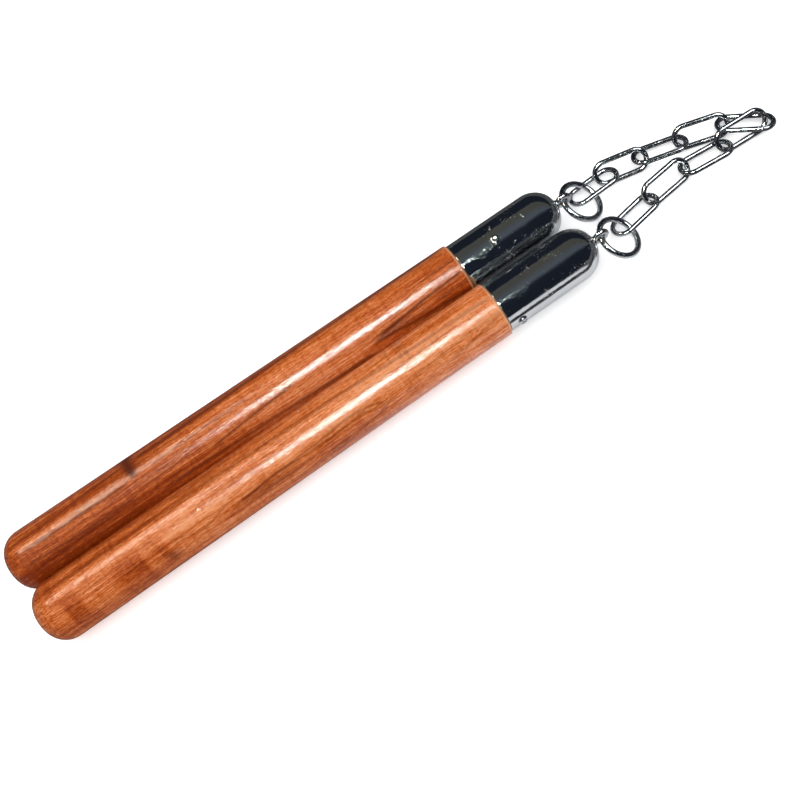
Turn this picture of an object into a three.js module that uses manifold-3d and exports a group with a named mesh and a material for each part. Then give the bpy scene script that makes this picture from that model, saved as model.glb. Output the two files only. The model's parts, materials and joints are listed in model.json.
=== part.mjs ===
// A pair of chain nunchaku: two tapered wooden handles with steel caps, each cap holding a
// ball-bearing swivel eye, joined by a ring and nine oval links and another ring.
// Millimetres, +Z up. +X runs from the handle butts to the chain, +Y from the front handle
// to the back one. The pair lies on a flat surface at z = 0.
import * as THREE from 'three';
import * as BufferGeometryUtils from 'three/addons/utils/BufferGeometryUtils.js';
import Module from 'manifold-3d';

const wasm = await Module();
wasm.setup();

// ---- driving dimensions -------------------------------------------------------------

const GAP = 0.3;                    // clearance between any two separate pieces

// wooden handle
const BUTT_RADIUS = 14.98;          // at the rounded free end
const SHOULDER_RADIUS = 13.65;      // where the cap begins
const WOOD_LENGTH = 251.6;          // visible wood, butt to shoulder
const BUTT_ROUND = 11;              // rounding of the butt edge
const SHOULDER_CHAMFER = 0.8;
const TENON_LENGTH = 36;            // turned spigot inside the cap
const HANDLE_SIDES = 24;            // one flat faces straight down, so the handle rests on it
const BACK_HANDLE_SETBACK = 2.2;    // the back handle lies this much behind the front one

// cap
const CAP_RADIUS = 12.65;
const CAP_WALL = 1;
const TIP_AT = 306.6;               // end of the dome, measured from the butt
const DOME_STEPS = 6;
const TIP_HOLE_RADIUS = 2.8;

// swivel
const SHANK_RADIUS = 2.5;
const EYE_WIRE = 2.6;
const EYE_CIRCLE = 6.2;             // diameter of the centreline of the eye's wire
const EYE_AT = 310.2;               // middle of the eye, measured from the butt
const HEAD_RADIUS = 6.2;
const HEAD_THICKNESS = 2.4;
const BALL_RADIUS = 1.2;
const BALL_COUNT = 6;
const BALL_CIRCLE = 4.3;            // radius of the circle through the ball centres
const RACE_OUTER = 7.7;
const RACE_INNER = 3;
const RACE_THICKNESS = 2;
const RACE_AT = 300.9;              // middle of the race, measured from the butt
const SWIVEL_SIDES = 16;

// cap screws: one near the mouth of the cap, one further on and a third of a turn round
const SCREW_NEAR = 6.3;             // from the mouth of the cap
const SCREW_FAR = 19.3;
const SCREW_HEAD_RADIUS = 2.4;
const SCREW_HEAD_HEIGHT = 1.15;
const SCREW_SHANK_RADIUS = 1.1;
const SCREW_SHANK_LENGTH = 8;
const SCREW_POINT_LENGTH = 1.5;
const SCREW_SIDES = 12;
const SCREW_HEAD_STEPS = 4;
const SCREW_TURN = 120;             // from the near screw to the far one, in degrees
const FRONT_ROLL = 90;              // turn of each handle about its own axis, in degrees
const BACK_ROLL = -105;

// rings and links
const RING_WIRE = 2.9;
const RING_CIRCLE = 20.4;           // diameter of the wire's centreline
const RING_HEADING = -20;           // direction in which the rings lean down to the table
const LINK_WIRE = 2.5;
const LINK_LENGTH = 25.6;           // centreline, bow to bow
const LINK_WIDTH = 10.2;            // centreline, rail to rail
const WIRE_SIDES = 10;
const RING_STEPS = 24;
const LINK_STEPS = 20;
const STEEP_LEAN = 45;              // the even links lean this much, far rail up
const SHALLOW_LEAN = -17;           // the odd links lean the other way
const SHALLOW_HEIGHT = 3.95;        // the odd links are propped up by their neighbours

// The lie of the chain on the table, from the back handle to the front one: the middle of
// each link, and the heading of its long axis in degrees.
const CHAIN_LAY = [
  { x: 325.8, y: 15.5, heading: 2 },
  { x: 342.0, y: 15.7, heading: -14 },
  { x: 361.6, y: 11.6, heading: -17 },
  { x: 381.9, y: 6.8, heading: -19 },
  { x: 400.2, y: -2.5, heading: -38 },
  { x: 395.9, y: -4.9, heading: -3 },
  { x: 375.0, y: -5.7, heading: -6 },
  { x: 352.9, y: -4.8, heading: 7 },
  { x: 331.7, y: -9.5, heading: 10 },
];

// ---- materials ----------------------------------------------------------------------

const wood = new THREE.MeshStandardMaterial({ color: 0xa8542a, roughness: 0.35, metalness: 0 });
const chrome = new THREE.MeshStandardMaterial({ color: 0xc9ccd0, roughness: 0.08, metalness: 1 });
const steel = new THREE.MeshStandardMaterial({ color: 0x9a9c9e, roughness: 0.3, metalness: 1 });

// ---- helpers ------------------------------------------------------------------------

const rad = THREE.MathUtils.degToRad;
const taper = (BUTT_RADIUS - SHOULDER_RADIUS) / (WOOD_LENGTH - SHOULDER_CHAMFER - BUTT_ROUND);
const mouthAt = WOOD_LENGTH + GAP;

function toSolid(geometry) {
  const bare = geometry.clone();
  bare.deleteAttribute('normal');
  bare.deleteAttribute('uv');
  const merged = BufferGeometryUtils.mergeVertices(bare, 1e-4);
  return new wasm.Manifold(new wasm.Mesh({
    numProp: 3,
    vertProperties: new Float32Array(merged.attributes.position.array),
    triVerts: new Uint32Array(merged.index.array),
  }));
}

function toGeometry(solid) {
  const mesh = solid.getMesh();
  const geometry = new THREE.BufferGeometry();
  geometry.setAttribute('position', new THREE.BufferAttribute(mesh.vertProperties, 3));
  geometry.setIndex(new THREE.BufferAttribute(mesh.triVerts, 1));
  return geometry;
}

// Turns an outline of [distance along the axis, radius] about the X axis. Radii are to the
// middle of a flat, and a flat faces straight down.
function turned(outline, sides) {
  const stretch = 1 / Math.cos(Math.PI / sides);
  const points = outline.map(([x, r]) => new THREE.Vector2(r * stretch, x));
  const geometry = new THREE.LatheGeometry(points, sides, Math.PI / sides, 2 * Math.PI);
  geometry.rotateZ(-Math.PI / 2);
  return geometry;
}

// An arc of an outline, from one angle to another, about a centre on or off the axis.
function arc(centreX, centreR, radius, from, to, steps) {
  return Array.from({ length: steps + 1 }, (_, i) => {
    const angle = rad(from + (to - from) * i / steps);
    return [centreX + radius * Math.cos(angle), centreR + radius * Math.sin(angle)];
  });
}

// A ring of round wire in the XY plane, pulled apart along X into an oval with straight sides.
function wireLoop(width, length, wire, steps) {
  const flatWidth = width / Math.cos(Math.PI / steps);
  const geometry = new THREE.TorusGeometry(flatWidth / 2, wire / 2, WIRE_SIDES, steps);
  geometry.rotateZ(Math.PI / steps);
  const position = geometry.attributes.position;
  const shift = (length - width) / 2;
  for (let i = 0; i < position.count; i += 1) {
    position.setX(i, position.getX(i) + Math.sign(position.getX(i)) * shift);
  }
  return geometry;
}

function piece(name, geometry, material) {
  const mesh = new THREE.Mesh(geometry, material);
  mesh.name = name;
  return mesh;
}

// ---- pieces of one handle, along +X from the butt, before it is laid down ------------

// The screws: where along the handle, and on which side of it.
const screwSeats = [
  { along: mouthAt + SCREW_NEAR, azimuth: 0 },
  { along: mouthAt + SCREW_FAR, azimuth: rad(SCREW_TURN) },
];
const screwTop = CAP_RADIUS + GAP;

// Drills the screws' clearance holes, from above the surface to past the screws' points.
function drilled(blank) {
  return screwSeats.reduce((solid, { along, azimuth }) => {
    const depth = SCREW_SHANK_LENGTH + GAP;
    const hole = new THREE.CylinderGeometry(
      SCREW_SHANK_RADIUS + GAP, SCREW_SHANK_RADIUS + GAP, 2 * depth, SCREW_SIDES,
    );
    hole.rotateX(Math.PI / 2);
    hole.translate(0, 0, screwTop);
    hole.rotateX(azimuth);
    hole.translate(along, 0, 0);
    return solid.subtract(toSolid(hole));
  }, toSolid(blank));
}

function woodHandle() {
  const tenonRadius = CAP_RADIUS - CAP_WALL - GAP;
  const tenonEnd = WOOD_LENGTH + TENON_LENGTH;
  const outline = [
    [0, 0],
    ...arc(BUTT_ROUND, BUTT_RADIUS - BUTT_ROUND, BUTT_ROUND, 180, 90, 6),
    [WOOD_LENGTH - SHOULDER_CHAMFER, SHOULDER_RADIUS],
    [WOOD_LENGTH, SHOULDER_RADIUS - SHOULDER_CHAMFER],
    [WOOD_LENGTH, tenonRadius],
    [tenonEnd, tenonRadius],
    [tenonEnd, 0],
  ];
  return toGeometry(drilled(turned(outline, HANDLE_SIDES)));
}

function cap() {
  const centre = TIP_AT - CAP_RADIUS;
  const inside = CAP_RADIUS - CAP_WALL;
  const rim = (radius) => 90 - THREE.MathUtils.radToDeg(Math.acos(TIP_HOLE_RADIUS / radius));
  const outline = [
    [mouthAt, inside],
    [mouthAt, CAP_RADIUS],
    ...arc(centre, 0, CAP_RADIUS, 90, rim(CAP_RADIUS), DOME_STEPS),
    ...arc(centre, 0, inside, rim(inside), 90, DOME_STEPS),
    [mouthAt, inside],
  ];
  return toGeometry(drilled(turned(outline, HANDLE_SIDES)));
}

function capScrew({ along, azimuth }) {
  const head = Array.from({ length: SCREW_HEAD_STEPS }, (_, i) => {
    const angle = Math.PI / 2 * i / SCREW_HEAD_STEPS;
    return new THREE.Vector2(SCREW_HEAD_RADIUS * Math.cos(angle), SCREW_HEAD_HEIGHT * Math.sin(angle));
  });
  const geometry = new THREE.LatheGeometry([
    new THREE.Vector2(0, -SCREW_SHANK_LENGTH),
    new THREE.Vector2(SCREW_SHANK_RADIUS, -SCREW_SHANK_LENGTH + SCREW_POINT_LENGTH),
    new THREE.Vector2(SCREW_SHANK_RADIUS, 0),
    ...head,
    new THREE.Vector2(0, SCREW_HEAD_HEIGHT),
  ], SCREW_SIDES);
  geometry.rotateX(Math.PI / 2);
  geometry.translate(0, 0, screwTop);
  geometry.rotateX(azimuth);
  geometry.translate(along, 0, 0);
  return geometry;
}

// The swivel: a headed pin that comes out through the tip of the cap and ends in a wire eye.
function swivelEye() {
  const headAt = RACE_AT - RACE_THICKNESS / 2 - 2 * BALL_RADIUS - 2 * GAP;
  const neck = EYE_AT - EYE_CIRCLE / 2;
  const pin = toSolid(turned([
    [headAt - HEAD_THICKNESS, 0],
    [headAt - HEAD_THICKNESS, HEAD_RADIUS],
    [headAt, HEAD_RADIUS],
    [headAt, SHANK_RADIUS],
    [TIP_AT, SHANK_RADIUS],
    [neck + EYE_WIRE / 4, EYE_WIRE / 2],
    [neck + EYE_WIRE / 4, 0],
  ], SWIVEL_SIDES));
  const eye = wireLoop(EYE_CIRCLE, EYE_CIRCLE, EYE_WIRE, SWIVEL_SIDES);
  eye.rotateX(Math.PI / 2);
  eye.translate(EYE_AT, 0, 0);
  return toGeometry(pin.add(toSolid(eye)));
}

function bearingRace() {
  const start = RACE_AT - RACE_THICKNESS / 2;
  const end = start + RACE_THICKNESS;
  return turned([
    [start, RACE_INNER],
    [start, RACE_OUTER],
    [end, RACE_OUTER],
    [end, RACE_INNER],
    [start, RACE_INNER],
  ], SWIVEL_SIDES);
}

function bearingBall(number) {
  const angle = 2 * Math.PI * number / BALL_COUNT;
  const geometry = new THREE.SphereGeometry(BALL_RADIUS, 8, 6);
  const along = RACE_AT - RACE_THICKNESS / 2 - BALL_RADIUS - GAP;
  geometry.translate(along, BALL_CIRCLE * Math.sin(angle), BALL_CIRCLE * Math.cos(angle));
  return geometry;
}

// ---- assembly -----------------------------------------------------------------------

const nunchaku = new THREE.Group();
const tilt = Math.atan(taper);
const buttHeight = (BUTT_RADIUS + taper * BUTT_ROUND) * Math.cos(tilt);

// A handle lies on its taper, side by side with the other: its axis sinks towards the cap
// and closes in on the other handle by the same angle.
function layDown(group, side, setback, roll) {
  group.rotation.set(rad(roll), tilt, -side * tilt, 'ZYX');
  group.position.set(-setback, side * (buttHeight + GAP / 2), buttHeight);
  nunchaku.add(group);
}

function addHandle(end, side, setback, roll) {
  const handle = new THREE.Group();
  handle.add(piece(`${end}_wood_handle`, woodHandle(), wood));
  handle.add(piece(`${end}_cap`, cap(), chrome));
  screwSeats.forEach((seat, i) => {
    handle.add(piece(`${end}_cap_screw_${i + 1}`, capScrew(seat), chrome));
  });
  handle.add(piece(`${end}_bearing_race`, bearingRace(), steel));
  for (let i = 0; i < BALL_COUNT; i += 1) {
    handle.add(piece(`${end}_bearing_ball_${i + 1}`, bearingBall(i), steel));
  }
  layDown(handle, side, setback, roll);
}

function addSwivelAndRing(end, side, setback) {
  const swivel = new THREE.Group();
  swivel.add(piece(`${end}_swivel_eye`, swivelEye(), chrome));
  layDown(swivel, side, setback, 0);
  swivel.updateMatrixWorld(true);

  // The ring hangs from the eye and rests its far side on the table.
  const eye = new THREE.Vector3(EYE_AT, 0, 0).applyMatrix4(swivel.matrixWorld);
  const drop = Math.asin((eye.z - RING_WIRE / 2) / RING_CIRCLE);
  const ring = piece(`${end}_ring`, wireLoop(RING_CIRCLE, RING_CIRCLE, RING_WIRE, RING_STEPS), chrome);
  ring.rotation.set(0, drop, rad(RING_HEADING), 'ZYX');
  const reach = new THREE.Vector3(RING_CIRCLE / 2, 0, 0).applyEuler(ring.rotation);
  ring.position.copy(eye).add(reach);
  nunchaku.add(ring);
}

function addLink(number, { x, y, heading }) {
  const steep = number % 2 === 0;
  const lean = rad(steep ? STEEP_LEAN : SHALLOW_LEAN);
  const restHeight = LINK_WIRE / 2 + LINK_WIDTH / 2 * Math.sin(lean);
  const link = piece(`chain_link_${number}`, wireLoop(LINK_WIDTH, LINK_LENGTH, LINK_WIRE, LINK_STEPS), chrome);
  link.rotation.set(lean, 0, rad(heading), 'ZYX');
  link.position.set(x, y, steep ? restHeight : SHALLOW_HEIGHT);
  nunchaku.add(link);
}

addHandle('front', -1, 0, FRONT_ROLL);
addHandle('back', 1, BACK_HANDLE_SETBACK, BACK_ROLL);
addSwivelAndRing('front', -1, 0);
addSwivelAndRing('back', 1, BACK_HANDLE_SETBACK);
CHAIN_LAY.forEach((place, i) => addLink(i + 1, place));

// The origin is the middle of the underside.
const bounds = new THREE.Box3().setFromObject(nunchaku, true);
const middle = bounds.getCenter(new THREE.Vector3());
const assembly = new THREE.Group();
nunchaku.position.set(-middle.x, -middle.y, -bounds.min.z);
assembly.add(nunchaku);

export default assembly;
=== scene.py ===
"""Looks for a pair of chain nunchaku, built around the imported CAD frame.

Every sub-part is rebuilt as a fine smooth mesh exactly where its CAD node is: each handle
from the axis of its swivel joint, and each ring and link from its own node's vertices.
Metres, +X from the butts to the chain, +Y from the front handle to the back one, +Z up.
"""

import json
import math

import bmesh
import bpy
import numpy as np
from mathutils import Matrix, Vector, noise

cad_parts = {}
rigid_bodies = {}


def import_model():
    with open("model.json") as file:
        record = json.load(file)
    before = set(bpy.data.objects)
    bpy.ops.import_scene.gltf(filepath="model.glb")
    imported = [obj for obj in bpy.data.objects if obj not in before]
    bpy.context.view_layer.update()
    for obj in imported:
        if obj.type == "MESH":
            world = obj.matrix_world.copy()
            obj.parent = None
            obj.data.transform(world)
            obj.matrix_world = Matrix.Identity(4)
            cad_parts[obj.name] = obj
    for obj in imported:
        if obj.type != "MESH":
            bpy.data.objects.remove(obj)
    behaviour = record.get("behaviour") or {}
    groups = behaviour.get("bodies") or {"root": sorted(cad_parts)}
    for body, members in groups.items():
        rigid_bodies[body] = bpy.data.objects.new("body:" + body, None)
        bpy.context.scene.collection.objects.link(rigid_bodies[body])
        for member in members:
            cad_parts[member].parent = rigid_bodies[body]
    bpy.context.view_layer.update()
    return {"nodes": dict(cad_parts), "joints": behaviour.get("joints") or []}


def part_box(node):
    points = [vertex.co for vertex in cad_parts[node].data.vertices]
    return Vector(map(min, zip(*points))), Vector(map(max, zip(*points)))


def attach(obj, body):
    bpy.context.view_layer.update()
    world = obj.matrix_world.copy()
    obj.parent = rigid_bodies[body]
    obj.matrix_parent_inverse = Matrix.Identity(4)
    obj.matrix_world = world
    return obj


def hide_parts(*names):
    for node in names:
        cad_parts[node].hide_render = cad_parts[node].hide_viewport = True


MM = 0.001

# The camera: where it stands, what it looks at, how far it leans, and its focal length.
CAMERA_AT = Vector((-18.1, -251.2, 477.0)) * MM
CAMERA_AIM = Vector((-13.7, -24.7, 14.0)) * MM
CAMERA_ROLL = math.radians(-33.53)
CAMERA_LENS = 51.04

# Wooden handle, along X from the butt.
BUTT_RADIUS = 14.98 * MM
SHOULDER_RADIUS = 13.65 * MM
WOOD_LENGTH = 251.6 * MM
BUTT_ROUND = 11 * MM
SHOULDER_EDGE = 0.8 * MM
TENON_RADIUS = 11.35 * MM
TENON_LENGTH = 36 * MM
TENON_CHAMFER = 1 * MM
WOOD_SIDES = 192
WOOD_STEP = 6 * MM
BUTT_STEPS = 28
SHOULDER_STEPS = 8
DIP_DEPTH = 0.035 * MM   # a turned surface is not quite even: its deepest dips
DIP_LENGTH = 22 * MM     # and about how far apart they lie along it
DIP_SPREAD = 0.8         # how quickly they change about it

# Cap.
GAP = 0.3 * MM
CAP_RADIUS = 12.65 * MM
CAP_WALL = 1 * MM
CAP_LIP = 0.35 * MM
TIP_AT = 306.6 * MM
TIP_HOLE_RADIUS = 2.8 * MM
CAP_SIDES = 128
CAP_LIP_STEPS = 6
CAP_TUBE_STEPS = 8
DOME_STEPS = 40
DOME_INNER_STEPS = 24
EDGE_HOLD = 0.2 * MM     # an extra loop this close to a rounded edge keeps the shading crisp

# Cap screws.
SCREW_HEAD_RADIUS = 2.4 * MM
SCREW_HEAD_HEIGHT = 1.15 * MM
SCREW_SHANK_RADIUS = 1.1 * MM
SCREW_SHANK_LENGTH = 8 * MM
SCREW_NEAR = 6.3 * MM
SCREW_FAR = 19.3 * MM
RECESS_HALF_LENGTH = 1.45 * MM
RECESS_HALF_WIDTH = 0.36 * MM
RECESS_DEPTH = 0.75 * MM
RECESS_WALL = 0.14 * MM  # how wide the recess's sloping walls are
RECESS_RISE = 0.45       # the share of its depth lost at the ends of its arms
SCREW_POINT = 1.5 * MM
SCREW_SIDES = 96
SCREW_HEAD_RINGS = 26
SCREW_HEAD_SQUARENESS = 4
SCREW_TURN = math.radians(25)

# Swivel and bearing.
EYE_AT = 310.2 * MM
EYE_CIRCLE = 6.2 * MM
EYE_WIRE = 2.6 * MM
SHANK_RADIUS = 2.5 * MM
HEAD_RADIUS = 6.2 * MM
HEAD_THICKNESS = 2.4 * MM
BALL_RADIUS = 1.2 * MM
RACE_AT = 300.9 * MM
RACE_OUTER = 7.7 * MM
RACE_INNER = 3 * MM
RACE_THICKNESS = 2 * MM
RACE_CHAMFER = 0.25 * MM
RACE_SIDES = 64
BALLS = 6
BALL_SIDES = 32
BALL_STEPS = 16          # from pole to pole
EYE_STEPS = 32           # in each half of the eye
PIN_SIDES = 48
MELT_VOXEL = 0.16 * MM
MELT_PASSES = 4

# Rings and links.
RING_WIRE = 2.9 * MM
RING_CIRCLE = 20.4 * MM
LINK_WIRE = 2.5 * MM
LINK_LENGTH = 25.6 * MM
LINK_WIDTH = 10.2 * MM
LINKS = 9
WIRE_SIDES = 24
RING_STEPS = 96          # in each half of a ring
LINK_BEND_STEPS = 36
LINK_SIDE_STEPS = 40
WELD_LENGTH = 1.3 * MM   # half the length of the swelling at a weld
SEAM_LENGTH = 0.22 * MM
SEAM_DEPTH = 0.05        # this and the two below are shares of the wire's radius
RING_SWELL = 0.02
LINK_SWELL = 0.06

# Edges that bend more than this are shaded sharp.
SHARP = math.radians(35)
SCREW_SHARP = math.radians(50)
SWIVEL_SHARP = math.radians(60)

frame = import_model()
joints = {joint["name"]: joint for joint in frame["joints"]}


def srgb(red, green, blue):
    """A colour given as 0 to 255 display values, as linear RGBA."""
    def linear(value):
        value /= 255
        return value / 12.92 if value <= 0.04045 else ((value + 0.055) / 1.055) ** 2.4
    return (linear(red), linear(green), linear(blue), 1.0)


# ---- node trees -----------------------------------------------------------------------


class Tree:
    """Short calls for building one node tree."""

    def __init__(self, material):
        material.use_nodes = True
        self.nodes = material.node_tree.nodes
        self.links = material.node_tree.links
        self.nodes.clear()

    def add(self, kind, inputs=(), **settings):
        """A node with these inputs fed and these settings made."""
        node = self.nodes.new(kind)
        for name, value in settings.items():
            setattr(node, name, value)
        for name, value in dict(inputs).items():
            self.feed(node.inputs[name], value)
        return node

    def feed(self, socket, value):
        """Links a socket to another, or sets it to a plain value."""
        if isinstance(value, bpy.types.NodeSocket):
            self.links.new(value, socket)
        else:
            socket.default_value = value

    def math(self, operation, first, second=0.0, third=0.0, clamp=False):
        node = self.add("ShaderNodeMath", operation=operation, use_clamp=clamp)
        for socket, value in zip(node.inputs, (first, second, third)):
            self.feed(socket, value)
        return node.outputs[0]

    def plus(self, first, second):
        return self.math("ADD", first, second)

    def times(self, first, second):
        return self.math("MULTIPLY", first, second)

    def position(self):
        """The piece's own coordinates, in metres, as X, Y and Z."""
        place = self.add("ShaderNodeTexCoord").outputs["Object"]
        return self.add("ShaderNodeSeparateXYZ", {0: place}).outputs

    def point(self, x, y, z):
        return self.add("ShaderNodeCombineXYZ", {0: x, 1: y, 2: z}).outputs[0]

    def noise(self, vector, detail, scale=1.0, roughness=0.5, distortion=0.0):
        inputs = {"Vector": vector, "Scale": scale, "Detail": detail,
                  "Roughness": roughness, "Distortion": distortion}
        return self.add("ShaderNodeTexNoise", inputs).outputs["Fac"]

    def between(self, value, start, end):
        """0 up to start and 1 from end on, with a smooth step; end may be the lower one."""
        inputs = {"Value": value, "From Min": start, "From Max": end}
        node = self.add("ShaderNodeMapRange", inputs, interpolation_type="SMOOTHSTEP")
        return node.outputs["Result"]

    def hill(self, value, middle, width):
        """A bell curve: 1 where value is middle, and near 0 two widths away."""
        off = self.math("DIVIDE", self.math("SUBTRACT", value, middle), width)
        return self.math("POWER", math.e, self.times(self.times(off, off), -1.0))

    def ramp(self, value, stops):
        """A colour that runs through the stops, each a pair of value and colour."""
        node = self.add("ShaderNodeValToRGB", {0: value})
        elements = node.color_ramp.elements
        for place, colour in stops[2:]:
            elements.new(place)
        for element, (place, colour) in zip(elements, stops):
            element.position = place
            element.color = colour
        return node.outputs["Color"]

    def curve(self, value, stops):
        """A smooth curve through the stops, each a pair of value and result."""
        places = [stop[0] for stop in stops]
        results = [stop[1] for stop in stops]
        start, span = places[0], places[-1] - places[0]
        low, height = min(results), max(results) - min(results)
        share = self.math("DIVIDE", self.math("SUBTRACT", value, start), span, clamp=True)
        node = self.add("ShaderNodeFloatCurve", {"Value": share})
        points = node.mapping.curves[0].points
        scaled = [((place - start) / span, (result - low) / height) for place, result in stops]
        points[0].location = scaled[0]
        points[-1].location = scaled[-1]
        for place, result in scaled[1:-1]:
            points.new(place, result)
        node.mapping.update()
        return self.math("MULTIPLY_ADD", node.outputs[0], height, low)

    def mix(self, share, first, second):
        """The first colour, turning into the second as the share goes from 0 to 1."""
        node = self.add("ShaderNodeMix", data_type="RGBA")
        # The sockets for colours come after those for numbers and vectors.
        factor, first_colour, second_colour = (node.inputs[place] for place in (0, 6, 7))
        self.feed(factor, share)
        self.feed(first_colour, first)
        self.feed(second_colour, second)
        return node.outputs[2]

    def bump(self, height, distance):
        """A normal for a relief whose height of 1 stands for this distance, in metres."""
        inputs = {"Height": height, "Distance": distance, "Strength": 1.0}
        return self.add("ShaderNodeBump", inputs).outputs["Normal"]

    def surface(self, **inputs):
        """The material's shader; an input's name is written with _ for each space."""
        names = {name.replace("_", " "): value for name, value in inputs.items()}
        shader = self.add("ShaderNodeBsdfPrincipled", names)
        self.add("ShaderNodeOutputMaterial", {"Surface": shader.outputs[0]})


# ---- wood -----------------------------------------------------------------------------

# Places on the wood are in millimetres: along the handle from the butt, across its upper
# face towards the back, and up from its axis.

DARK_STREAK = srgb(84, 24, 4)
DEEP_BROWN = srgb(122, 43, 5)
RED_BROWN = srgb(158, 66, 12)
ORANGE = srgb(188, 92, 34)
PALE_ORANGE = srgb(214, 123, 69)
SANDY_ORANGE = srgb(227, 148, 99)
BARE_WOOD = srgb(214, 168, 128)
KNOT_BROWN = srgb(66, 20, 10)

# The colour of each tone, from dark to pale.
PALETTE = (
    (0.00, DEEP_BROWN),
    (0.30, RED_BROWN),
    (0.55, ORANGE),
    (0.82, PALE_ORANGE),
    (1.00, SANDY_ORANGE),
)

GRAIN_TURN = math.radians(26)    # turns the wood's figure about the handle, towards -Y
UPPER_FACE = (-3.0, 2.0)         # the heights over which the figure of the photo fades in
UNDERSIDE_TONE = 0.5
BARE_RIM = (WOOD_LENGTH / MM - 1.1, WOOD_LENGTH / MM - 0.5)   # where the bare edge fades in

SWAY = 2.2                       # the widest swing of the grain across the face
SWAY_ALONG, SWAY_ACROSS = 0.035, 0.12    # cells of noise for each millimetre
FIGURE_SWAY = 0.4                # the share of the sway that the veins and bands follow
TICKS_ALONG, TICKS_ACROSS = 0.42, 0.05
TICKS_FADE = (0.48, 0.66)        # noise below the first shows none, above the second all
TICKS_MIDDLE = 0.4
TICKS_STRENGTH = 0.10
TICKS_SEED = 5.0                 # added to the wood's own seed
LINES_FADE = (0.11, 0.22)
PORES_FADE = (0.10, 0.20)

# How much of its colour each mark shows at most.
LINES_SHARE = 0.45
PORES_SHARE = 0.35
VEINS_SHARE = 0.92
KNOT_SHARE = 0.9
RIM_SHARE = 0.7
VEINS_EVEN = 0.80                # the even part of a vein; the fibres break up the rest
VEINS_BROKEN = 0.9

FIBRE_RELIEF = 0.03 * MM
COAT_RELIEF = 0.12 * MM
KNOT_DULLNESS = 0.9              # how much of the clear coat the knot lacks

# The tone along the middle of each handle's face: (along, tone).
BACK_TONE = ((0, 0.33), (60, 0.37), (110, 0.56), (165, 0.72), (205, 0.62), (252, 0.50))
FRONT_TONE = (
    (0, 0.52), (30, 0.67), (60, 0.66), (95, 0.76), (150, 0.71), (200, 0.84), (252, 0.90),
)

# Painted shade towards the edges of the round face, partly mixed with the wood's own darker tone.
# Where each side of the back handle's face turns darker, across it, and by how much, along it.
BACK_SIDES_WITH_PAINTED_SHADE = (
    ((-1.0, -9.0), ((0, 0.16), (70, 0.20), (110, 0.18), (160, 0.04), (200, 0.10), (252, 0.16))),
    ((3.5, 7.5), ((0, 0.0), (85, 0.04), (118, 0.24), (165, 0.20), (200, 0.10), (252, 0.22))),
)
# Painted shade: where both sides of the front handle's face turn darker, across it, and by how
# much.
FRONT_PAINTED_SHADE_SIDES = ((5.0, 11.0), (-5.0, -9.0))
FRONT_PAINTED_SIDE_SHADE = 0.17

# The knot of the back handle, a dark streak across the grain.
KNOT_AT = 74.4
KNOT_SLANT = -0.12               # millimetres along for each millimetre across
KNOT_WIDTHS = ((0, 1.2), (4, 1.7), (8, 3.2), (15, 4.6))     # (across, half-width there)
KNOT_FADE = (2.4, 6.0)           # across, where it fades in

# Soft marks: strength, the middle as (along, across), and the half-width each way.
BACK_SHADES = (
    (0.55, (212.0, -5.8), (8.0, 1.2)),
    (0.30, (45.0, -10.5), (34.0, 2.0)),
)
FRONT_GLOWS = (
    (0.14, (86.0, -3.0), (22.0, 6.0)),
    (0.22, (134.0, -2.0), (6.0, 4.0)),
)
FRONT_SPOT = ((69.0, -9.2), (3.6, 2.2))
FRONT_SHADES = (
    (0.5, *FRONT_SPOT),
    (0.5, (120.0, -8.2), (15.0, 2.2)),
)
FRONT_KNOTS = ((0.25, *FRONT_SPOT),)

# The dark bands across the front handle: strength, and where along it they fade in and out.
FRONT_BANDS = (
    (0.38, (14.5, 18.5), (26.5, 22.0)),
    (0.34, (38.0, 46.0), (59.0, 55.5)),
    (0.24, (61.5, 66.0), (70.0, 66.5)),
)
BANDS_MIDDLE, BANDS_WIDTH = -4.5, 6.5    # across
BANDS_SWAY = 3.0

# Two rippled places on the back half of the front handle's face: (along, half-length).
FRONT_RIPPLES = ((118.0, 22.0), (205.0, 14.0))
RIPPLES_FADE = (1.5, 5.0)        # across
RIPPLES_STRENGTH = 0.30
RIPPLES_SEED = 3.1

# The dark veins of each handle: how dark, how wide, and the (along, across) line they follow.
VEIN_OVERRUN = 3                 # how far beyond the ends of its line a vein is gone
VEIN_TAPER = 5                   # how far within them it is at full strength
BACK_VEINS = (
    (0.84, 0.65, ((9, 9.3), (37, 9.8), (52, 10.3), (65, 10.8), (70, 11.8))),
    (0.84, 0.65, ((12, 3.9), (37, 3.7), (57, 3.4), (65, 3.2), (70, 4.2))),
    (0.78, 0.78, ((9, -3.2), (17, -2.7), (27, -3.0), (35, -3.6), (57, -3.9), (65, -4.1),
                  (71, -3.0))),
    (0.56, 0.72, ((9, -6.3), (27, -5.8), (42, -5.4), (60, -5.9))),
    (1.00, 0.98, ((77, 11.2), (97, 11.2), (127, 11.4), (147, 12.0), (200, 12.5), (248, 12.8))),
    (0.67, 0.52, ((82, 4.2), (92, 4.7), (107, 5.0), (127, 5.2), (137, 5.4))),
    (0.56, 0.52, ((76, -2.1), (92, -1.6), (104, -0.8))),
    (0.90, 0.59, ((111, -4.8), (123, -3.8), (137, -2.8), (149, -2.0), (158, -1.5))),
    (0.84, 0.98, ((88, -8.2), (107, -8.5), (122, -9.0), (147, -9.2), (167, -10.0),
                  (197, -10.7))),
    (1.00, 0.78, ((201, -5.4), (209, -4.8), (219, -3.9), (229, -2.9), (242, -2.2),
                  (252, -1.5))),
    (0.90, 0.91, ((199, -6.6), (209, -7.5), (219, -8.6), (232, -9.3), (252, -10.4))),
)
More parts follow.
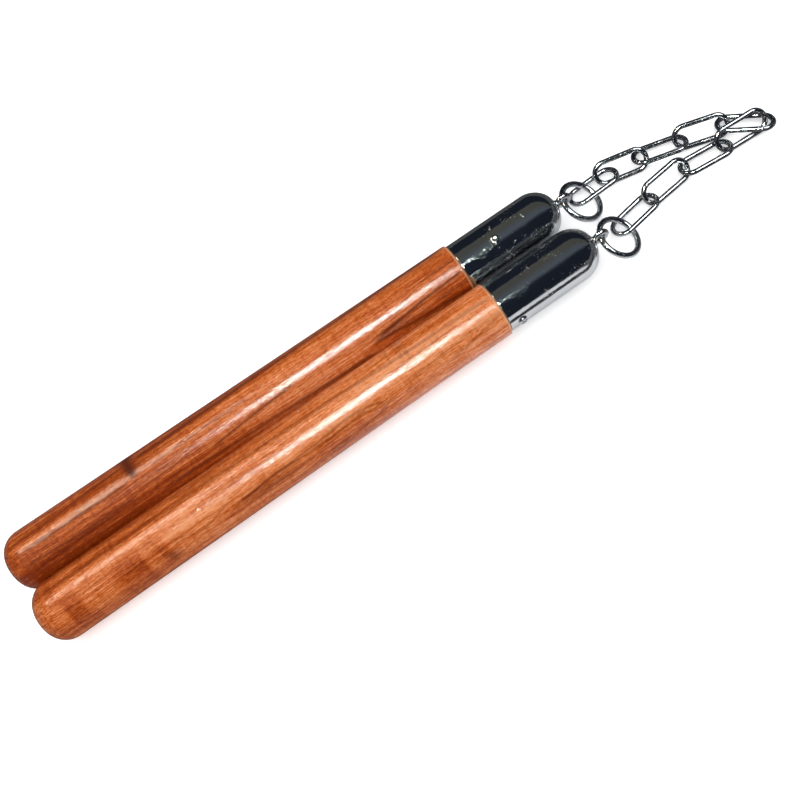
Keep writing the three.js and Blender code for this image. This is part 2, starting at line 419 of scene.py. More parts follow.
FRONT_VEINS = (
    (0.52, 0.85, ((9, 10.3), (37, 9.8), (97, 9.4), (127, 8.8), (157, 8.2), (182, 7.3),
                  (222, 6.1), (252, 5.6))),
    (0.90, 0.65, ((106, -6.3), (115, -5.8), (123, -5.2), (132, -5.0), (140, -5.2))),
    (0.56, 0.65, ((138, -4.6), (147, -4.4), (157, -3.5), (167, -2.9), (175, -3.4),
                  (182, -5.0), (186.6, -7.2))),
    (0.56, 0.65, ((150, -10.6), (169, -10.0), (178, -9.6), (184, -8.6), (186.6, -7.2))),
    (0.45, 0.59, ((150, -6.0), (162, -5.3), (172, -5.0), (179, -6.3), (183, -7.4))),
    (0.45, 0.59, ((219, -8.0), (232, -6.5), (242, -4.8), (252, -3.2))),
    (0.34, 0.52, ((196, -4.5), (212, -4.0), (228, -3.0), (250, -1.8))),
    (0.39, 0.52, ((70, -3.5), (78, -4.5), (86, -6.8), (94, -5.6), (102, -3.6))),
)


def grain_coordinates(tree):
    """Along the handle, across its upper face and up from its axis, in millimetres."""
    x, y, z = (tree.math("DIVIDE", axis, MM) for axis in tree.position())
    cosine, sine = math.cos(GRAIN_TURN), math.sin(GRAIN_TURN)
    across = tree.plus(tree.times(y, cosine), tree.times(z, sine))
    up = tree.plus(tree.times(y, -sine), tree.times(z, cosine))
    return x, across, up


def marks(tree, along, across, spots):
    """The strength of all the soft marks together."""
    total = 0.0
    for strength, middle, size in spots:
        lengthwise = tree.hill(along, middle[0], size[0])
        sideways = tree.hill(across, middle[1], size[1])
        total = tree.plus(total, tree.times(tree.times(lengthwise, sideways), strength))
    return total


def veins(tree, along, across, wander, lines):
    """The darkness of all the veins together."""
    total = 0.0
    for darkness, width, stops in lines:
        middle = tree.plus(tree.curve(along, stops), wander)
        inked = tree.hill(across, middle, width)
        start, end = stops[0][0], stops[-1][0]
        ends = tree.times(
            tree.between(along, start - VEIN_OVERRUN, start + VEIN_TAPER),
            tree.between(along, end + VEIN_OVERRUN, end - VEIN_TAPER),
        )
        total = tree.plus(total, tree.times(tree.times(inked, ends), darkness))
    return total


def ticks(tree, along, across, seed):
    """Fine dark ripples across the grain."""
    place = tree.point(tree.times(along, TICKS_ALONG), tree.times(across, TICKS_ACROSS), seed)
    return tree.between(tree.noise(place, detail=1.0, distortion=0.3), *TICKS_FADE)


def back_figure(tree, along, across, wander):
    """The back handle's (tone, darkness, knot)."""
    tone = tree.curve(along, BACK_TONE)
    # both sides of the face darken: painted shade, partly the wood's own tone
    for side, shade in BACK_SIDES_WITH_PAINTED_SHADE:
        painted_shade = tree.times(tree.between(across, *side), tree.curve(along, shade))
        tone = tree.math("SUBTRACT", tone, painted_shade)
    middle = tree.plus(tree.times(across, KNOT_SLANT), KNOT_AT)
    streak = tree.hill(along, middle, tree.curve(across, KNOT_WIDTHS))
    knot = tree.times(streak, tree.between(across, *KNOT_FADE))
    dark = tree.plus(
        veins(tree, along, across, wander, BACK_VEINS),
        marks(tree, along, across, BACK_SHADES),
    )
    return tone, dark, knot


def front_figure(tree, along, across, wander):
    """The front handle's (tone, darkness, knot)."""
    tone = tree.curve(along, FRONT_TONE)
    # painted shade darkens both sides of the face
    for side in FRONT_PAINTED_SHADE_SIDES:
        painted_shade = tree.times(tree.between(across, *side), FRONT_PAINTED_SIDE_SHADE)
        tone = tree.math("SUBTRACT", tone, painted_shade)
    tone = tree.plus(tone, marks(tree, along, across, FRONT_GLOWS))
    uneven = tree.plus(along, tree.times(wander, BANDS_SWAY))
    face = tree.hill(across, BANDS_MIDDLE, BANDS_WIDTH)
    for strength, fade_in, fade_out in FRONT_BANDS:
        band = tree.times(tree.between(uneven, *fade_in), tree.between(uneven, *fade_out))
        tone = tree.math("SUBTRACT", tone, tree.times(tree.times(band, strength), face))
    dark = tree.plus(
        veins(tree, along, across, wander, FRONT_VEINS),
        marks(tree, along, across, FRONT_SHADES),
    )
    back_half = tree.times(tree.between(across, *RIPPLES_FADE), RIPPLES_STRENGTH)
    rippled = tree.times(back_half, ticks(tree, along, across, RIPPLES_SEED))
    for middle, length in FRONT_RIPPLES:
        dark = tree.plus(dark, tree.times(rippled, tree.hill(along, middle, length)))
    return tone, dark, marks(tree, along, across, FRONT_KNOTS)


def wood_material(name, figure, seed):
    """Varnished wood: figure and painted side shade, finer grain over it, a rippled clear coat.
    """
    material = bpy.data.materials.new(name)
    tree = Tree(material)
    along, across, up = grain_coordinates(tree)
    sway_at = tree.point(tree.times(along, SWAY_ALONG), tree.times(across, SWAY_ACROSS), seed)
    sway = tree.noise(sway_at, detail=2.0)
    wander = tree.times(tree.math("SUBTRACT", sway, 0.5), SWAY)
    upper_face = tree.between(up, *UPPER_FACE)
    tone, dark, knot = figure(tree, along, across, tree.times(wander, FIGURE_SWAY))
    underside = tree.times(tree.math("SUBTRACT", 1.0, upper_face), UNDERSIDE_TONE)
    tone = tree.plus(tree.times(tone, upper_face), underside)
    shifted = tree.plus(across, wander)

    def grain(length, width, depth, offset, detail, strength):
        """Noise stretched along the grain, as a swing about 0."""
        vector = tree.point(
            tree.plus(tree.math("DIVIDE", along, length), seed + offset),
            tree.math("DIVIDE", shifted, width),
            tree.math("DIVIDE", up, depth),
        )
        swing = tree.noise(vector, detail=detail, roughness=0.6, distortion=0.2)
        return tree.times(tree.math("SUBTRACT", swing, 0.5), strength)

    broad = grain(length=150.0, width=6.0, depth=9.0, offset=0.0, detail=2.0, strength=0.9)
    stripes = grain(length=70.0, width=1.6, depth=4.0, offset=11.0, detail=3.0, strength=1.1)
    fibres = grain(length=11.0, width=0.40, depth=0.6, offset=37.0, detail=3.0, strength=1.3)
    flecks = grain(length=1.9, width=0.50, depth=0.7, offset=61.0, detail=2.0, strength=1.1)
    lines = grain(length=90.0, width=0.9, depth=2.4, offset=23.0, detail=2.0, strength=1.0)
    pores = grain(length=4.2, width=0.26, depth=0.4, offset=51.0, detail=1.0, strength=1.0)
    coat_grain = grain(length=1.1, width=0.65, depth=0.8, offset=71.0, detail=1.0, strength=0.7)

    for swing in (broad, stripes, fibres, flecks):
        tone = tree.plus(tone, swing)
    ripples = ticks(tree, along, across, seed + TICKS_SEED)
    ripples = tree.math("SUBTRACT", ripples, TICKS_MIDDLE)
    tone = tree.math("SUBTRACT", tone, tree.times(ripples, TICKS_STRENGTH))
    colour = tree.ramp(tone, PALETTE)
    line_marks = tree.between(lines, *LINES_FADE)
    colour = tree.mix(tree.times(line_marks, LINES_SHARE), colour, DARK_STREAK)
    broken = tree.plus(VEINS_EVEN, tree.times(fibres, VEINS_BROKEN))
    inked = tree.times(tree.times(dark, upper_face), broken)
    colour = tree.mix(tree.math("MINIMUM", inked, VEINS_SHARE), colour, DARK_STREAK)
    pore_marks = tree.between(pores, *PORES_FADE)
    colour = tree.mix(tree.times(pore_marks, PORES_SHARE), colour, DEEP_BROWN)
    colour = tree.mix(tree.times(knot, tree.times(upper_face, KNOT_SHARE)), colour, KNOT_BROWN)
    rim = tree.between(along, *BARE_RIM)
    colour = tree.mix(tree.times(rim, RIM_SHARE), colour, BARE_WOOD)

    relief = tree.math("SUBTRACT", fibres, pore_marks)
    orange_peel = tree.noise(tree.point(along, across, up), detail=1.0)
    tree.surface(
        Base_Color=colour,
        Roughness=0.5,
        Specular_IOR_Level=0.12,
        Normal=tree.bump(relief, FIBRE_RELIEF),
        Coat_Weight=tree.math("SUBTRACT", 1.0, tree.times(knot, KNOT_DULLNESS)),
        Coat_Roughness=0.09,
        Coat_IOR=1.5,
        Coat_Normal=tree.bump(tree.plus(coat_grain, orange_peel), COAT_RELIEF),
    )
    return material


# ---- metal ----------------------------------------------------------------------------

PIT_WHITE = srgb(235, 235, 230)
PITS_FADE = (0.645, 0.725)       # noise below the first shows none, above the second all
CLUSTERS_FADE = (0.49, 0.61)
SCRATCHES_FADE = (0.62, 0.72)
SMUDGES_FADE = (0.42, 0.75)
SCRATCH_SCALE = (300.0, 5200.0, 5200.0)
SMUDGE_BRIGHTNESS = 0.72         # of a smudge, against clean plating
SMUDGE_SHARE = 0.35
SMUDGE_ROUGHNESS = 0.07
PIT_ROUGHNESS = 0.30
PIT_DEPTH = 0.9                  # against the height of the ripples
SCRATCH_HEIGHT = 0.06
METAL_RELIEF = 0.05 * MM


def chrome_material(name, colour, roughness, pit_share):
    """Bright plating: faint ripples, fine scratches, small pits and dull smudges."""
    material = bpy.data.materials.new(name)
    tree = Tree(material)
    place = tree.add("ShaderNodeTexCoord").outputs["Object"]
    ripples = tree.noise(place, scale=260.0, detail=2.0)
    clusters = tree.noise(place, scale=120.0, detail=2.0)
    speckle = tree.noise(place, scale=1900.0, detail=1.0)
    pits = tree.times(tree.between(speckle, *PITS_FADE), tree.between(clusters, *CLUSTERS_FADE))
    stretched = tree.add("ShaderNodeMapping", {"Vector": place, "Scale": SCRATCH_SCALE})
    scratch_noise = tree.noise(stretched.outputs[0], detail=1.0)
    scratches = tree.between(scratch_noise, *SCRATCHES_FADE)
    smudge_noise = tree.noise(place, scale=85.0, detail=4.0, roughness=0.65)
    smudges = tree.between(smudge_noise, *SMUDGES_FADE)
    smudged = tuple(channel * SMUDGE_BRIGHTNESS for channel in colour[:3]) + (1.0,)
    tint = tree.mix(tree.times(smudges, SMUDGE_SHARE), colour, smudged)
    tint = tree.mix(tree.times(pits, pit_share), tint, PIT_WHITE)
    worn = tree.plus(tree.times(smudges, SMUDGE_ROUGHNESS), tree.times(pits, PIT_ROUGHNESS))
    marked = tree.plus(tree.times(scratches, SCRATCH_HEIGHT), tree.times(pits, -PIT_DEPTH))
    tree.surface(
        Base_Color=tint,
        Metallic=1.0,
        Roughness=tree.plus(roughness, worn),
        Normal=tree.bump(tree.plus(ripples, marked), METAL_RELIEF),
    )
    return material


# ---- mesh helpers ---------------------------------------------------------------------


def make_object(name, mesh, place, material, sharp=SHARP):
    """A smooth-shaded piece at its place, with one material."""
    mesh.shade_smooth()
    mesh.set_sharp_from_angle(angle=sharp)
    mesh.materials.append(material)
    piece = bpy.data.objects.new(name, mesh)
    bpy.context.scene.collection.objects.link(piece)
    piece.matrix_world = place
    return piece


def arc(centre_x, centre_r, radius, start, end, steps):
    """Points of an arc in an outline, from start to end in degrees."""
    angles = [math.radians(start + (end - start) * i / steps) for i in range(steps + 1)]
    return [(centre_x + radius * math.cos(a), centre_r + radius * math.sin(a)) for a in angles]


def revolve(name, outline, sides, shape=None):
    """Turns an outline of (x, radius) about X. It closes on itself, or ends on the axis.

    shape(x, angle) is added to the radius there.
    """
    closed = outline[0] == outline[-1]
    points = outline[:-1] if closed else outline
    work = bmesh.new()
    rings = []
    for x, r in points:
        if r == 0:
            rings.append([work.verts.new((x, 0, 0))] * sides)
            continue
        ring = []
        for k in range(sides):
            angle = 2 * math.pi * k / sides
            wide = r if shape is None else r + shape(x, angle)
            ring.append(work.verts.new((x, wide * math.cos(angle), wide * math.sin(angle))))
        rings.append(ring)
    pairs = list(zip(rings, rings[1:])) + ([(rings[-1], rings[0])] if closed else [])
    for low, high in pairs:
        for k in range(sides):
            corners = [low[k], low[(k + 1) % sides], high[(k + 1) % sides], high[k]]
            work.faces.new(list(dict.fromkeys(corners)))
    bmesh.ops.recalc_face_normals(work, faces=work.faces)
    mesh = bpy.data.meshes.new(name)
    work.to_mesh(mesh)
    work.free()
    return mesh


def oval(length, width, bend_steps, side_steps):
    """A closed oval in the XY plane, as pairs of a point and its outward direction."""
    bend = width / 2
    straight = length - width
    stops = []
    for half in (0, 1):
        turn = math.pi * half
        sign = 1 - 2 * half
        for i in range(side_steps):
            x = straight * (i / side_steps - 0.5) * sign
            stops.append((Vector((x, -bend * sign, 0)), Vector((0, -sign, 0))))
        for i in range(bend_steps):
            angle = turn - math.pi / 2 + math.pi * i / bend_steps
            out = Vector((math.cos(angle), math.sin(angle), 0))
            stops.append((Vector((straight / 2 * sign, 0, 0)) + out * bend, out))
    return stops


def circle(across, half_steps):
    """A closed circle in the XY plane: an oval whose sides have one stop and no length."""
    return oval(across, across, half_steps, side_steps=1)


def sweep_loop(name, stops, thickness):
    """A closed loop of round wire; thickness(point) is its radius there."""
    work = bmesh.new()
    rings = []
    for point, out in stops:
        radius = thickness(point)
        ring = []
        for k in range(WIRE_SIDES):
            angle = 2 * math.pi * k / WIRE_SIDES
            away = out * math.cos(angle) + Vector((0, 0, 1)) * math.sin(angle)
            ring.append(work.verts.new(point + away * radius))
        rings.append(ring)
    for low, high in zip(rings, rings[1:] + rings[:1]):
        for k in range(WIRE_SIDES):
            k2 = (k + 1) % WIRE_SIDES
            work.faces.new((low[k], low[k2], high[k2], high[k]))
    bmesh.ops.recalc_face_normals(work, faces=work.faces)
    mesh = bpy.data.meshes.new(name)
    work.to_mesh(mesh)
    work.free()
    return mesh


def settle(piece, body, slot, *nodes):
    """Puts a piece on its body and hides the CAD nodes it replaces; slot is not used."""
    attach(piece, body)
    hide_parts(*nodes)


def basis(origin, along, up):
    """A place whose X runs along, with its Z as near up as that allows."""
    x = Vector(along).normalized()
    y = Vector(up).cross(x).normalized()
    z = x.cross(y)
    turn = Matrix((x, y, z)).transposed().to_4x4()
    return Matrix.Translation(origin) @ turn


# ---- pieces ---------------------------------------------------------------------------


def wood_mesh(name, seed):
    """A tapered handle with a rounded butt, a shoulder and the tenon inside the cap."""
    steps = round((WOOD_LENGTH - BUTT_ROUND) / WOOD_STEP)
    side_end = WOOD_LENGTH - SHOULDER_EDGE
    tenon_end = WOOD_LENGTH + TENON_LENGTH
    side = [
        (BUTT_ROUND + (side_end - BUTT_ROUND) * i / steps,
         BUTT_RADIUS + (SHOULDER_RADIUS - BUTT_RADIUS) * i / steps)
        for i in range(1, steps)
    ]
    outline = (
        [(0, 0)]
        + arc(BUTT_ROUND, BUTT_RADIUS - BUTT_ROUND, BUTT_ROUND, 180, 90, BUTT_STEPS)
        + side
        + [(side_end - EDGE_HOLD, SHOULDER_RADIUS)]
        + arc(side_end, SHOULDER_RADIUS - SHOULDER_EDGE, SHOULDER_EDGE, 90, 0, SHOULDER_STEPS)
        + [(WOOD_LENGTH, TENON_RADIUS), (tenon_end - TENON_CHAMFER, TENON_RADIUS)]
        + [(tenon_end, TENON_RADIUS - TENON_CHAMFER), (tenon_end, 0)]
    )

    def hand_turned(x, angle):
        """A shallow dip, or none near the rounded butt and the shoulder."""
        if not BUTT_ROUND < x < side_end - WOOD_STEP:
            return 0.0
        side, up = math.cos(angle) * DIP_SPREAD, math.sin(angle) * DIP_SPREAD
        place = Vector((x / DIP_LENGTH, side, up + seed))
        return -DIP_DEPTH * (0.5 + 0.5 * noise.noise(place))

    return revolve(name, outline, WOOD_SIDES, hand_turned)


def cap_mesh(name):
    """A tube with a rounded lip and a dome, and a hole at the dome's tip."""
    mouth = WOOD_LENGTH + GAP
    centre = TIP_AT - CAP_RADIUS
    tube = centre - mouth
    inside = CAP_RADIUS - CAP_WALL
    outer_rim = 90 - math.degrees(math.acos(TIP_HOLE_RADIUS / CAP_RADIUS))
    inner_rim = 90 - math.degrees(math.acos(TIP_HOLE_RADIUS / inside))
    outline = (
        [(mouth, inside)]
        + arc(mouth + CAP_LIP, CAP_RADIUS - CAP_LIP, CAP_LIP, 180, 90, CAP_LIP_STEPS)
        + [(mouth + CAP_LIP + EDGE_HOLD, CAP_RADIUS)]
        + [(mouth + tube * i / CAP_TUBE_STEPS, CAP_RADIUS) for i in range(1, CAP_TUBE_STEPS)]
        + arc(centre, 0, CAP_RADIUS, 90, outer_rim, DOME_STEPS)
        + arc(centre, 0, inside, inner_rim, 90, DOME_INNER_STEPS)
        + [(mouth, inside)]
    )
    return revolve(name, outline, CAP_SIDES)


def screw_mesh(name):
    """A pan-head screw along Z, its head's underside at the origin, with a cross recess."""
    def recess(x, y):
        """How deep the cross is cut at this point."""
        reach = max(abs(x), abs(y))
        narrow = min(abs(x), abs(y))
        inside = min(RECESS_HALF_WIDTH - narrow, RECESS_HALF_LENGTH - reach)
        share = min(max(inside / RECESS_WALL + 0.5, 0), 1)
        slope = 1 - RECESS_RISE * reach / RECESS_HALF_LENGTH
        return RECESS_DEPTH * share * slope

    sides = SCREW_SIDES
    angles = [2 * math.pi * k / sides for k in range(sides)]
    work = bmesh.new()
    top = work.verts.new((0, 0, SCREW_HEAD_HEIGHT - recess(0, 0)))
    grid = []
    for i in range(1, SCREW_HEAD_RINGS + 1):
        out = i / SCREW_HEAD_RINGS
        r = SCREW_HEAD_RADIUS * out
        height = SCREW_HEAD_HEIGHT * math.sqrt(1 - out ** SCREW_HEAD_SQUARENESS)
        row = []
        for angle in angles:
            x, y = r * math.cos(angle), r * math.sin(angle)
            row.append(work.verts.new((x, y, height - recess(x, y))))
        grid.append(row)
    r = SCREW_SHANK_RADIUS
    for z in (0, SCREW_POINT - SCREW_SHANK_LENGTH):
        grid.append([work.verts.new((r * math.cos(a), r * math.sin(a), z)) for a in angles])
    tip = work.verts.new((0, 0, -SCREW_SHANK_LENGTH))
    for k in range(sides):
        k2 = (k + 1) % sides
        work.faces.new((top, grid[0][k], grid[0][k2]))
        work.faces.new((tip, grid[-1][k2], grid[-1][k]))
        for low, high in zip(grid, grid[1:]):
            work.faces.new((low[k], high[k], high[k2], low[k2]))
    bmesh.ops.recalc_face_normals(work, faces=work.faces)
    mesh = bpy.data.meshes.new(name)
    work.to_mesh(mesh)
    work.free()
    return mesh


def swivel_mesh(name):
    """The headed pin and its eye, melted together where they meet."""
    head_at = RACE_AT - RACE_THICKNESS / 2 - 2 * BALL_RADIUS - 2 * GAP
    neck_at = EYE_AT - EYE_CIRCLE / 2
    pin = revolve(name + "_pin", [
        (head_at - HEAD_THICKNESS, 0),
        (head_at - HEAD_THICKNESS, HEAD_RADIUS),
        (head_at, HEAD_RADIUS),
        (head_at, SHANK_RADIUS),
        (TIP_AT, SHANK_RADIUS),
        (neck_at + EYE_WIRE / 4, EYE_WIRE / 2),
        (neck_at + EYE_WIRE / 4, 0),
    ], PIN_SIDES)
    eye = sweep_loop(name + "_eye", circle(EYE_CIRCLE, EYE_STEPS), lambda point: EYE_WIRE / 2)
    eye.transform(Matrix.Translation((EYE_AT, 0, 0)) @ Matrix.Rotation(math.pi / 2, 4, "X"))
    work = bmesh.new()
    work.from_mesh(pin)
    work.from_mesh(eye)
    mesh = bpy.data.meshes.new(name)
    work.to_mesh(mesh)
    work.free()
    carrier = bpy.data.objects.new(name + "_raw", mesh)
    bpy.context.scene.collection.objects.link(carrier)
    remesh = carrier.modifiers.new("melt", "REMESH")
    remesh.mode = "VOXEL"
    remesh.voxel_size = MELT_VOXEL
    smooth = carrier.modifiers.new("soften", "SMOOTH")
    smooth.factor = 0.5
    smooth.iterations = MELT_PASSES
    graph = bpy.context.evaluated_depsgraph_get()
    melted = bpy.data.meshes.new_from_object(carrier.evaluated_get(graph))
    bpy.data.objects.remove(carrier)
    melted.name = name
    return melted


def race_mesh(name):
    """The washer that the balls run on, with its edges chamfered."""
    start, end = RACE_AT - RACE_THICKNESS / 2, RACE_AT + RACE_THICKNESS / 2
    edge = RACE_CHAMFER
    outline = [
        (start, RACE_INNER + edge), (start, RACE_OUTER - edge),
        (start + edge, RACE_OUTER), (end - edge, RACE_OUTER),
        (end, RACE_OUTER - edge), (end, RACE_INNER + edge),
        (end - edge, RACE_INNER), (start + edge, RACE_INNER),
        (start, RACE_INNER + edge),
    ]
    return revolve(name, outline, RACE_SIDES)


def ball_mesh(name):
    """A ball about the origin."""
    step = 180 / BALL_STEPS
    side = arc(0, 0, BALL_RADIUS, 180 - step, step, BALL_STEPS - 2)
    return revolve(name, [(-BALL_RADIUS, 0)] + side + [(BALL_RADIUS, 0)], BALL_SIDES)


def loop_place(node, toward=None):
    """Where a flat loop lies: its middle, its long way as X and its normal as Z.

    A round loop has no long way: its X runs towards a given point instead.
    """
    points = np.array([vertex.co for vertex in frame["nodes"][node].data.vertices])
    middle = points.mean(0)
    spread = points - middle
    ways = np.linalg.eigh(spread.T @ spread)[1]
    normal = Vector(ways[:, 0])
    if normal.z < 0:
        normal.negate()
    long_way = Vector(ways[:, 2]) if toward is None else Vector(toward) - Vector(middle)
    if toward is None and long_way.x < 0:
        long_way.negate()
    return basis(middle, long_way, normal)


def welded(wire, weld_at, bulge):
    """The wire's radius round a loop, a little thicker at the weld, with a fine seam in it."""
    def thickness(point):
        distance = (point - weld_at).length
        swell = bulge * math.exp(-(distance / WELD_LENGTH) ** 2)
        seam = SEAM_DEPTH * math.exp(-(distance / SEAM_LENGTH) ** 2)
        return wire / 2 * (1 + swell - seam)
    return thickness


# ---- assembly -------------------------------------------------------------------------

front_wood = wood_material("front_wood", front_figure, seed=2.3)
back_wood = wood_material("back_wood", back_figure, seed=14.6)
cap_chrome = chrome_material("cap_chrome", srgb(205, 208, 212), roughness=0.05, pit_share=0.9)
wire_chrome = chrome_material("wire_chrome", srgb(196, 199, 203), roughness=0.09, pit_share=0.3)
bearing_steel = chrome_material(
    "bearing_steel", srgb(168, 170, 172), roughness=0.22, pit_share=0.1
)


def build_handle(end, joint, wood, seed):
    """One handle with its cap, screws and bearing, and its swivel and ring."""
    axis = Vector(joint["axis"]) * (1 if joint["axis"][0] > 0 else -1)
    swivel_at = Vector(joint["pos_m"])
    place = basis(swivel_at - axis * EYE_AT, axis, (0, 0, 1))
    body = end + "_handle"

    piece = make_object(end + "_handle_wood", wood_mesh(end + "_wood", seed), place, wood)
    settle(piece, body, "varnished_wood", end + "_wood_handle")
    piece = make_object(end + "_handle_cap", cap_mesh(end + "_cap"), place, cap_chrome)
    settle(piece, body, "chrome", end + "_cap")

    for number, along in ((1, SCREW_NEAR), (2, SCREW_FAR)):
        node = f"{end}_cap_screw_{number}"
        low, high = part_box(node)
        foot = place @ Vector((WOOD_LENGTH + GAP + along, 0, 0))
        outward = (low + high) / 2 - foot
        outward -= axis * outward.dot(axis)
        outward.normalize()
        turn = Matrix.Rotation(SCREW_TURN * number, 4, "Z")
        seat = basis(foot + outward * CAP_RADIUS, axis, outward) @ turn
        piece = make_object(node + "_fine", screw_mesh(node), seat, wire_chrome, SCREW_SHARP)
        settle(piece, body, "chrome", node)

    piece = make_object(end + "_race", race_mesh(end + "_race"), place, bearing_steel)
    settle(piece, body, "bearing_steel", end + "_bearing_race")
    for number in range(1, BALLS + 1):
        node = f"{end}_bearing_ball_{number}"
        low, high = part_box(node)
        middle = Matrix.Translation((low + high) / 2)
        piece = make_object(node + "_fine", ball_mesh(node), middle, bearing_steel)
        settle(piece, body, "bearing_steel", node)

    mesh = swivel_mesh(end + "_swivel")
    piece = make_object(end + "_swivel_fine", mesh, place, wire_chrome, SWIVEL_SHARP)
    settle(piece, end + "_swivel", "chrome", end + "_swivel_eye")

    ring_place = loop_place(end + "_ring", swivel_at)
    weld_at = Vector((0, RING_CIRCLE / 2, 0))
    thickness = welded(RING_WIRE, weld_at, RING_SWELL)
    mesh = sweep_loop(end + "_ring", circle(RING_CIRCLE, RING_STEPS), thickness)
    piece = make_object(end + "_ring_fine", mesh, ring_place, wire_chrome)
    settle(piece, end + "_ring", "chrome", end + "_ring")


build_handle("front", joints["front_swivel_spin"], front_wood, seed=0.0)
build_handle("back", joints["back_handle_spin"], back_wood, seed=7.0)

for number in range(1, LINKS + 1):
    node = f"chain_link_{number}"
    side = 1 if number % 2 else -1
    weld_at = Vector((0, side * LINK_WIDTH / 2, 0))
    stops = oval(LINK_LENGTH, LINK_WIDTH, LINK_BEND_STEPS, LINK_SIDE_STEPS)
    mesh = sweep_loop(node, stops, welded(LINK_WIRE, weld_at, LINK_SWELL))
    piece = make_object(node + "_fine", mesh, loop_place(node), wire_chrome)
    settle(piece, f"link_{number}", "chrome", node)

# ---- stage ----------------------------------------------------------------------------

WHITE = (1.0, 1.0, 1.0, 1.0)
FLOOR_HALF = 1.3                 # metres from the middle of the floor to its edges
FLOOR_DROP = -0.12 * MM          # the round wires lie a hair lower than the faceted CAD ones
FLOOR_GREY = 0.94

# Cards that only reflections see: two at floor height, and a strip in front of the part.
CARD_REACH = 3.0
CARD_SPLIT = 0.03                # the Y at which the near card ends and the far one starts
BUTTS_TO_CAPS = (-0.11, 0.0)     # where along X a card's grey changes to the next one
CAPS_TO_CHAIN = (0.116, 0.130)
STRIP_LOW, STRIP_HIGH = (-0.3, -0.078), (0.3, -0.048)
STRIP_HEIGHT = 0.4 * MM

# The camera sees a white world. Everything else sees a dim panel overhead in a darker
# surround: its edges and its change of colour are given as a direction's Y over its Z.
PANEL_FAR_EDGE = (0.88, 0.84)
PANEL_NEAR_EDGE = (-0.62, -0.20)
PANEL_CHANGE = (0.35, -0.20)
PANEL_FAR = (0.088, 0.088, 0.076, 1.0)
PANEL_NEAR = (0.092, 0.108, 0.125, 1.0)
SURROUND = (0.014, 0.018, 0.027, 1.0)
LOWEST_Z = 0.02                  # any lower Z is taken as this one

COOL_LIGHT = (0.9, 1.0, 0.93)
WARM_LIGHT = (1.0, 0.76, 0.54)


def grey(level):
    """A linear grey, as RGBA."""
    return (level, level, level, 1.0)


def floor_material():
    """Matt and pale, with a little glow that keeps the shadows faint."""
    material = bpy.data.materials.new("pale_floor")
    Tree(material).surface(
        Base_Color=grey(FLOOR_GREY),
        Roughness=0.7,
        Specular_IOR_Level=0.1,
        Emission_Color=grey(FLOOR_GREY),
        Emission_Strength=0.4,
    )
    return material


def card_material(name, at_butts, at_caps, at_chain):
    """A matt grey that changes along the stage, from the butts' end to the chain's."""
    material = bpy.data.materials.new(name)
    tree = Tree(material)
    along = tree.position()[0]
    colour = tree.mix(tree.between(along, *BUTTS_TO_CAPS), grey(at_butts), grey(at_caps))
    colour = tree.mix(tree.between(along, *CAPS_TO_CHAIN), colour, grey(at_chain))
    tree.surface(Base_Color=colour, Roughness=0.8, Specular_IOR_Level=0.0)
    return material


def plane(name, low, high, height, material):
    """A level rectangle between two (x, y) corners."""
    mesh = bpy.data.meshes.new(name)
    corners = [(low[0], low[1]), (high[0], low[1]), (high[0], high[1]), (low[0], high[1])]
    mesh.from_pydata([(x, y, height) for x, y in corners], [], [(0, 1, 2, 3)])
    mesh.materials.append(material)
    piece = bpy.data.objects.new(name, mesh)
    bpy.context.scene.collection.objects.link(piece)
    return piece


def area_light(name, at, aim, size, power, colour=(1.0, 1.0, 1.0), soft=False):
    """A soft light lights matt surfaces and is not reflected; any other is only reflected."""
    data = bpy.data.lights.new(name, "AREA")
    data.shape = "RECTANGLE" if soft else "ELLIPSE"
    data.size, data.size_y = size
    data.energy = power
    data.color = colour
    light = bpy.data.objects.new(name, data)
    light.location = at
    light.rotation_euler = (Vector(aim) - Vector(at)).to_track_quat("-Z", "Y").to_euler()
    light.visible_glossy = not soft
    light.visible_diffuse = soft
    bpy.context.scene.collection.objects.link(light)
    return light


floor = plane(
    "floor", (-FLOOR_HALF, -FLOOR_HALF), (FLOOR_HALF, FLOOR_HALF), FLOOR_DROP, floor_material()
)
floor.visible_glossy = False

near_grey = card_material("grey_card", at_butts=0.10, at_caps=0.80, at_chain=0.12)
far_grey = card_material("dark_card", at_butts=0.08, at_caps=0.08, at_chain=0.08)
strip_grey = card_material("dark_strip", at_butts=0.08, at_caps=0.05, at_chain=0.05)
cards = (
    plane("near_card", (-CARD_REACH, -CARD_REACH), (CARD_REACH, CARD_SPLIT), 0.0, near_grey),
    plane("far_card", (-CARD_REACH, CARD_SPLIT), (CARD_REACH, CARD_REACH), 0.0, far_grey),
    plane("dark_strip", STRIP_LOW, STRIP_HIGH, STRIP_HEIGHT, strip_grey),
)
for card in cards:
    card.visible_camera = False
    card.visible_diffuse = False
    card.visible_shadow = False

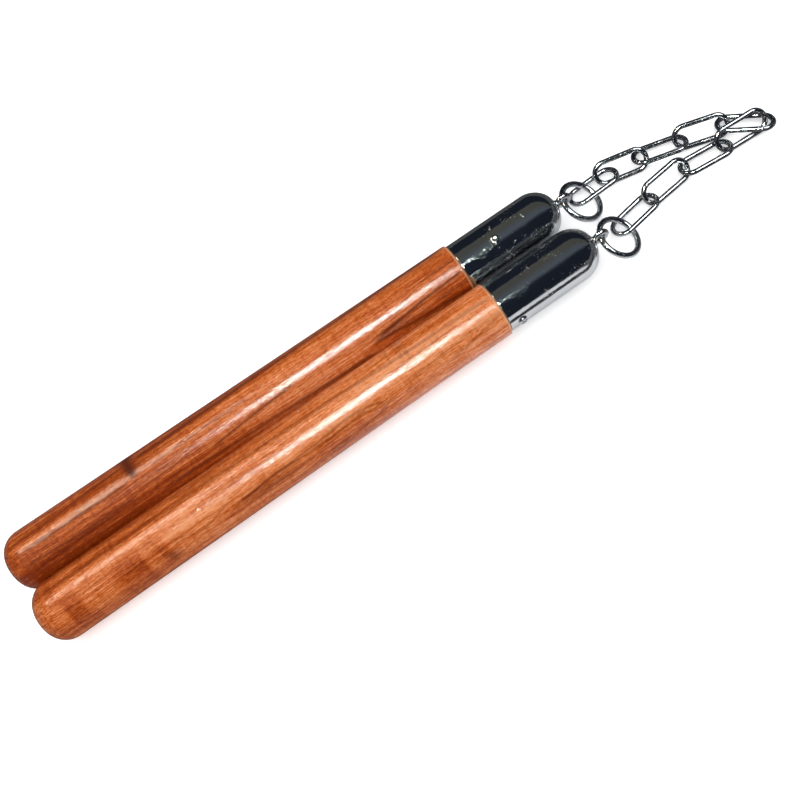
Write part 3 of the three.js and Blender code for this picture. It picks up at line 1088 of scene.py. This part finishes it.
world = bpy.data.worlds.new("studio")
bpy.context.scene.world = world
sky = Tree(world)
direction = sky.add("ShaderNodeTexCoord").outputs["Generated"]
ways = sky.add("ShaderNodeSeparateXYZ", {0: direction}).outputs
overhead = sky.math("DIVIDE", ways[1], sky.math("MAXIMUM", ways[2], LOWEST_Z))
panel = sky.times(
    sky.between(overhead, *PANEL_FAR_EDGE), sky.between(overhead, *PANEL_NEAR_EDGE)
)
panel_colour = sky.mix(sky.between(overhead, *PANEL_CHANGE), PANEL_FAR, PANEL_NEAR)
glow = sky.mix(panel, SURROUND, panel_colour)
seen = sky.add("ShaderNodeLightPath").outputs["Is Camera Ray"]
background = sky.add("ShaderNodeBackground", {"Color": sky.mix(seen, glow, WHITE)})
sky.add("ShaderNodeOutputWorld", {"Surface": background.outputs[0]})

area_light(
    "ceiling", at=(0.0, -0.1, 1.6), aim=(0.0, 0.0, 0.0), size=(3.2, 3.2), power=66.0, soft=True
)
area_light(
    "over_handles", at=(-0.04, -0.225, 0.72), aim=(-0.04, -0.02, 0.0), size=(0.36, 0.12),
    power=0.85, colour=COOL_LIGHT,
)
area_light(
    "over_middle", at=(-0.01, -0.22, 0.70), aim=(-0.01, -0.02, 0.0), size=(0.20, 0.10),
    power=3.4, colour=COOL_LIGHT,
)
area_light(
    "behind_left", at=(-0.375, 0.36, 0.95), aim=(-0.14, 0.0, 0.0), size=(0.42, 0.048),
    power=3.2, colour=WARM_LIGHT,
)
over_chain = area_light(
    "over_chain", at=(0.46, -0.22, 0.72), aim=(0.17, 0.0, 0.0), size=(0.38, 0.44), power=3.0
)

# The light over the chain reaches the swivels, the rings and the links only.
chain_pieces = bpy.data.collections.new("chain_pieces")
for piece in bpy.data.objects:
    if piece.name.endswith(("_ring_fine", "_swivel_fine")) or piece.name.startswith("chain_link"):
        chain_pieces.objects.link(piece)
over_chain.light_linking.receiver_collection = chain_pieces

camera_data = bpy.data.cameras.new("camera")
camera_data.lens = CAMERA_LENS
camera_data.clip_start = 0.01
camera = bpy.data.objects.new("camera", camera_data)
bpy.context.scene.collection.objects.link(camera)
camera.matrix_world = (
    Matrix.Translation(CAMERA_AT)
    @ (CAMERA_AIM - CAMERA_AT).to_track_quat("-Z", "Y").to_matrix().to_4x4()
    @ Matrix.Rotation(CAMERA_ROLL, 4, "Z")
)
bpy.context.scene.camera = camera
bpy.context.scene.view_settings.view_transform = "Standard"
